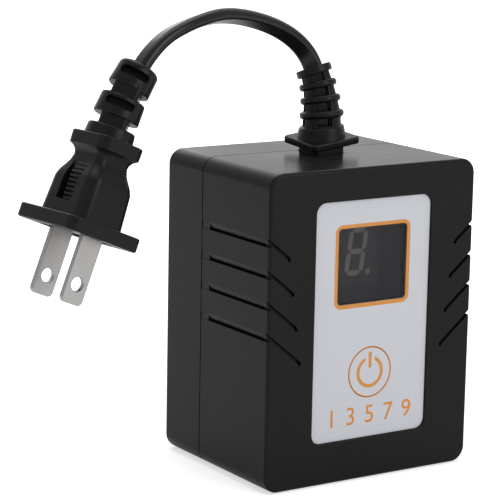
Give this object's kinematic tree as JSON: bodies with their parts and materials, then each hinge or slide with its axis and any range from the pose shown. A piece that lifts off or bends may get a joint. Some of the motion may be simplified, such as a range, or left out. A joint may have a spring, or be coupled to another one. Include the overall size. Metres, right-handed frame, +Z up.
{
  "type": "plug-in timer switch",
  "caption": "Plug-in timer switch with a digit display and a key on a white panel, side louvres, a short flat cord with its grommet and plug, and a shuttered outlet in the back.",
  "frame": {"origin": "middle of the underside of the housing", "axes": "+Z up, -Y out of the panel with the display and the key, +X to the panel's right"},
  "size_m": [0.1194, 0.05, 0.1206],
  "materials": {
    "housing_plastic": "satin",
    "panel_film": "satin",
    "smoked_window": "gloss",
    "white_plastic": "satin",
    "dark_plastic": "satin",
    "board_laminate": "satin",
    "display_case": "matte",
    "display_segments": "satin",
    "tinned_copper": "satin",
    "screw_steel": "satin",
    "relay_case": "satin",
    "soft_iron": "satin",
    "copper_wire": "gloss",
    "contact_brass": "satin",
    "film_capacitor": "satin",
    "capacitor_sleeve": "gloss",
    "varistor_coat": "matte",
    "fuse_glass": "gloss",
    "crystal_can": "satin",
    "resistor_coat": "matte",
    "shutter_plastic": "satin",
    "spring_steel": "satin",
    "grommet_vinyl": "matte",
    "cord_vinyl": "satin",
    "plug_vinyl": "satin",
    "plug_insert": "satin",
    "blade_nickel": "satin",
    "core_vinyl": "satin"
  },
  "bodies": {
    "housing": {"front_shell": "housing_plastic", "rear_shell": "housing_plastic", "housing_screws": "screw_steel", "panel_film": "panel_film", "display_window": "smoked_window", "key_switch": "dark_plastic", "main_board": "board_laminate", "board_screws": "screw_steel", "display_module": "display_case", "display_segments": "display_segments", "display_pins": "tinned_copper", "relay_base": "relay_case", "relay_cover": "relay_case", "relay_yoke": "soft_iron", "relay_core": "soft_iron", "relay_bobbin": "white_plastic", "relay_winding": "copper_wire", "relay_fixed_contact": "contact_brass", "film_capacitor": "film_capacitor", "smoothing_capacitor": "capacitor_sleeve", "varistor": "varistor_coat", "fuse": "fuse_glass", "rectifier": "dark_plastic", "microcontroller": "dark_plastic", "crystal": "crystal_can", "resistors": "resistor_coat", "shutter_spring": "spring_steel", "contact_carrier": "white_plastic", "line_contact": "contact_brass", "neutral_contact": "contact_brass", "carrier_screws": "screw_steel", "cord_grommet": "grommet_vinyl", "cord_in_grommet": "cord_vinyl", "power_cord": "cord_vinyl", "plug_body": "plug_vinyl", "plug_insert": "plug_insert", "plug_blade_line": "blade_nickel", "plug_blade_neutral": "blade_nickel", "line_lead_in": "core_vinyl", "neutral_lead_in": "core_vinyl", "line_lead_out": "core_vinyl", "neutral_lead_out": "core_vinyl"},
    "key": {"key_pad": "panel_film", "key_plunger": "white_plastic", "switch_stem": "dark_plastic"},
    "shutter": {"shutter": "shutter_plastic"},
    "armature": {"relay_armature": "soft_iron", "relay_moving_blade": "contact_brass"}
  },
  "joints": [
    {"name": "key_press", "type": "slide", "parent": "housing", "child": "key", "axis": [0, 1, 0], "range_m": [0, 0.00035], "stiffness_N_per_m": 2000},
    {"name": "shutter_slide", "type": "slide", "parent": "housing", "child": "shutter", "axis": [1, 0, 0], "range_m": [0, 0.0032], "stiffness_N_per_m": 40, "deforming": ["shutter_spring"]},
    {"name": "armature_swing", "type": "hinge", "parent": "housing", "child": "armature", "pos_m": [0.011, -0.0048, 0.0289], "axis": [-1, 0, 0], "range_deg": [0, 4], "stiffness_Nm_per_rad": 0.01, "springref_deg": -5.73}
  ]
}
